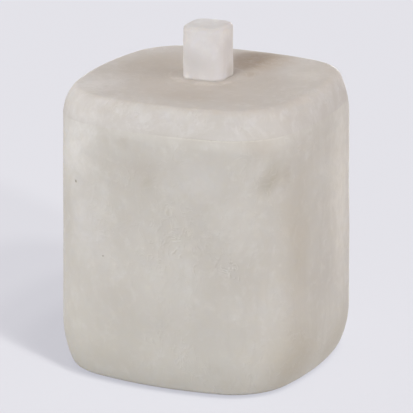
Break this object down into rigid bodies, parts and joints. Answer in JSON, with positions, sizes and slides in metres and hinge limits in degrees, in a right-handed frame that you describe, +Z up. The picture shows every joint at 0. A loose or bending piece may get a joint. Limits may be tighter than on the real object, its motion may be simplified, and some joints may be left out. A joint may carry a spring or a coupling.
{
  "type": "cotton pad holder",
  "caption": "Soft square stone jar for cotton pads, with bowed sides, a flush keyed lid that lifts off by a square knob, and small pads under its base.",
  "frame": {"origin": "on the floor under the middle of the jar, at the underside of the foot pads", "axes": "+Z up along the jar and the knob, -Y towards the front, +X towards the right side seen in the picture"},
  "size_m": [0.1, 0.1, 0.1294],
  "materials": {
    "jar_stone": "honed",
    "lid_stone": "honed",
    "knob_stone": "honed",
    "dowel_steel": "brushed",
    "pad_rubber": "matt"
  },
  "bodies": {
    "jar": {"jar_body": "jar_stone", "foot_pad_front_left": "pad_rubber", "foot_pad_front_right": "pad_rubber", "foot_pad_back_left": "pad_rubber", "foot_pad_back_right": "pad_rubber"},
    "lid": {"lid": "lid_stone", "knob": "knob_stone", "knob_dowel": "dowel_steel"}
  },
  "joints": [
    {"name": "lid_lift", "type": "slide", "parent": "jar", "child": "lid", "axis": [0, 0, 1], "range_m": [0, 0.12]}
  ]
}
